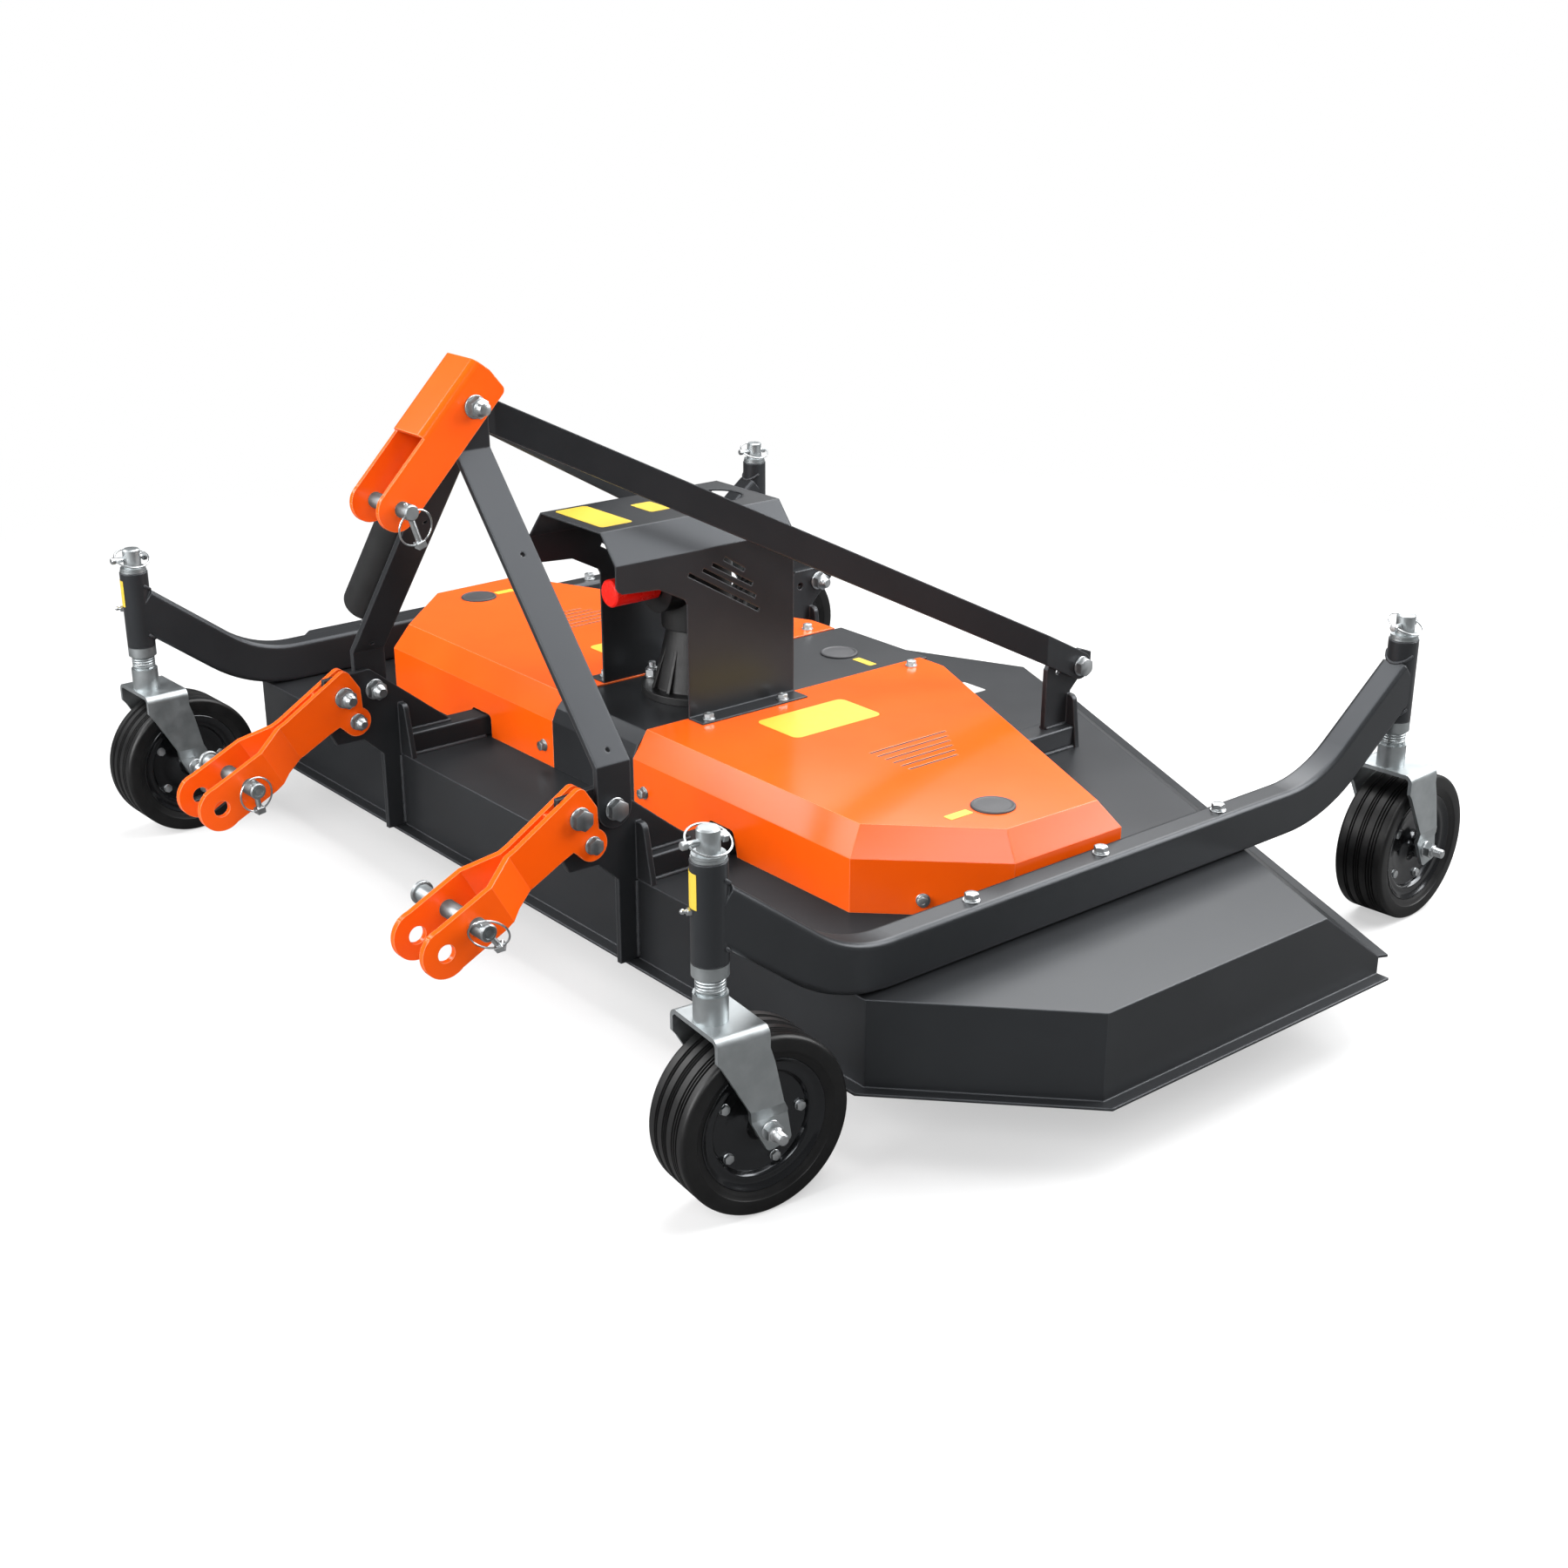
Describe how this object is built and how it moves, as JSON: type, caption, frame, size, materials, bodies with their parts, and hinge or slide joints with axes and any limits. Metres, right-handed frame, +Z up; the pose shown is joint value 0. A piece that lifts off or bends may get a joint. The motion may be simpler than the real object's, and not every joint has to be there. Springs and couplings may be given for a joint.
{
  "type": "finishing mower",
  "caption": "Rear finishing mower for a tractor's hitch: wide low deck on caster wheels, belt covers, guarded gearbox and an A-frame mast.",
  "frame": {"origin": "middle of the footprint, on the floor under the machine", "axes": "+X to the machine's left, -Y towards the tractor, +Z up"},
  "size_m": [2.34, 1.835, 1.0155],
  "materials": {
    "orange_paint": "gloss powder coat",
    "black_paint": "satin powder coat",
    "rim_paint": "gloss",
    "tyre_rubber": "matte",
    "zinc": "bright zinc plate",
    "blade_steel": "dull",
    "cast_iron": "painted casting",
    "red_plastic": "gloss",
    "black_plastic": "matte"
  },
  "bodies": {
    "root": {"belt_cover_left": "orange_paint", "belt_cover_right": "orange_paint", "centre_cover": "black_paint", "deck_shell": "black_paint", "frame_bolts_left": "zinc", "frame_bolts_right": "zinc", "gearbox": "cast_iron", "gearbox_guard": "black_paint", "hitch_bracket_left": "black_paint", "hitch_bracket_right": "black_paint", "hitch_pin_left": "zinc", "hitch_pin_right": "zinc", "lower_clevis_left": "orange_paint", "lower_clevis_right": "orange_paint", "manual_holder": "black_plastic", "mast_bolt": "zinc", "mast_leg_left": "black_paint", "mast_leg_right": "black_paint", "rear_bracket_left": "black_paint", "rear_bracket_right": "black_paint", "side_tube_left": "black_paint", "side_tube_right": "black_paint", "spindle_housings": "cast_iron", "stay_bar_left": "black_paint", "stay_bar_right": "black_paint", "top_rail_left": "black_paint", "top_rail_right": "black_paint"},
    "blade_centre": {"blade_rotor_centre": "blade_steel"},
    "blade_left": {"blade_rotor_left": "blade_steel"},
    "blade_right": {"blade_rotor_right": "blade_steel"},
    "caster_front_left": {"caster_axle_front_left": "zinc", "caster_fork_front_left": "zinc"},
    "caster_front_right": {"caster_axle_front_right": "zinc", "caster_fork_front_right": "zinc"},
    "caster_rear_left": {"caster_axle_rear_left": "zinc", "caster_fork_rear_left": "zinc"},
    "caster_rear_right": {"caster_axle_rear_right": "zinc", "caster_fork_rear_right": "zinc"},
    "input": {"input_shaft": "blade_steel", "shaft_cap": "red_plastic"},
    "top_link_clevis": {"top_clevis": "orange_paint", "top_link_pin": "zinc"},
    "wheel_front_left": {"wheel_rim_front_left": "rim_paint", "wheel_tyre_front_left": "tyre_rubber"},
    "wheel_front_right": {"wheel_rim_front_right": "rim_paint", "wheel_tyre_front_right": "tyre_rubber"},
    "wheel_rear_left": {"wheel_rim_rear_left": "rim_paint", "wheel_tyre_rear_left": "tyre_rubber"},
    "wheel_rear_right": {"wheel_rim_rear_right": "rim_paint", "wheel_tyre_rear_right": "tyre_rubber"}
  },
  "joints": [
    {"name": "caster_front_left_swivel", "type": "hinge", "parent": "root", "child": "caster_front_left", "pos_m": [0.88002, -0.7565, 0.3], "axis": [0, 0, 1], "continuous": true},
    {"name": "wheel_front_left_spin", "type": "hinge", "parent": "caster_front_left", "child": "wheel_front_left", "pos_m": [0.88659, -0.69887, 0.132], "axis": [0.9936, -0.1132, 0], "continuous": true},
    {"name": "caster_front_right_swivel", "type": "hinge", "parent": "root", "child": "caster_front_right", "pos_m": [-0.88002, -0.7565, 0.3], "axis": [0, 0, 1], "continuous": true},
    {"name": "wheel_front_right_spin", "type": "hinge", "parent": "caster_front_right", "child": "wheel_front_right", "pos_m": [-0.88104, -0.69851, 0.132], "axis": [0.9998, 0.0175, 0], "continuous": true},
    {"name": "caster_rear_left_swivel", "type": "hinge", "parent": "root", "child": "caster_rear_left", "pos_m": [0.88002, 0.728, 0.3], "axis": [0, 0, 1], "continuous": true},
    {"name": "wheel_rear_left_spin", "type": "hinge", "parent": "caster_rear_left", "child": "wheel_rear_left", "pos_m": [0.87648, 0.78589, 0.132], "axis": [0.9981, 0.061, 0], "continuous": true},
    {"name": "caster_rear_right_swivel", "type": "hinge", "parent": "root", "child": "caster_rear_right", "pos_m": [-0.88002, 0.728, 0.3], "axis": [0, 0, 1], "continuous": true},
    {"name": "wheel_rear_right_spin", "type": "hinge", "parent": "caster_rear_right", "child": "wheel_rear_right", "pos_m": [-0.87497, 0.78578, 0.132], "axis": [0.9962, -0.0872, 0], "continuous": true},
    {"name": "blade_left_spin", "type": "hinge", "parent": "root", "child": "blade_left", "pos_m": [0.73852, -0.1019, 0.128], "axis": [0, 0, 1], "continuous": true},
    {"name": "blade_right_spin", "type": "hinge", "parent": "root", "child": "blade_right", "pos_m": [-0.73852, -0.1019, 0.128], "axis": [0, 0, 1], "continuous": true},
    {"name": "blade_centre_spin", "type": "hinge", "parent": "root", "child": "blade_centre", "pos_m": [0, 0.2254, 0.128], "axis": [0, 0, 1], "continuous": true},
    {"name": "input_spin", "type": "hinge", "parent": "root", "child": "input", "pos_m": [0, -0.25, 0.587], "axis": [0, -1, 0], "continuous": true},
    {"name": "top_link_swing", "type": "hinge", "parent": "root", "child": "top_link_clevis", "pos_m": [0, -0.5605, 0.944], "axis": [-1, 0, 0], "range_deg": [0, 60]}
  ],
  "couplings": [
    {"joint": "blade_left_spin", "follows": "blade_centre_spin", "ratio": 1},
    {"joint": "blade_right_spin", "follows": "blade_centre_spin", "ratio": 1},
    {"joint": "input_spin", "follows": "blade_centre_spin", "ratio": 0.27}
  ]
}
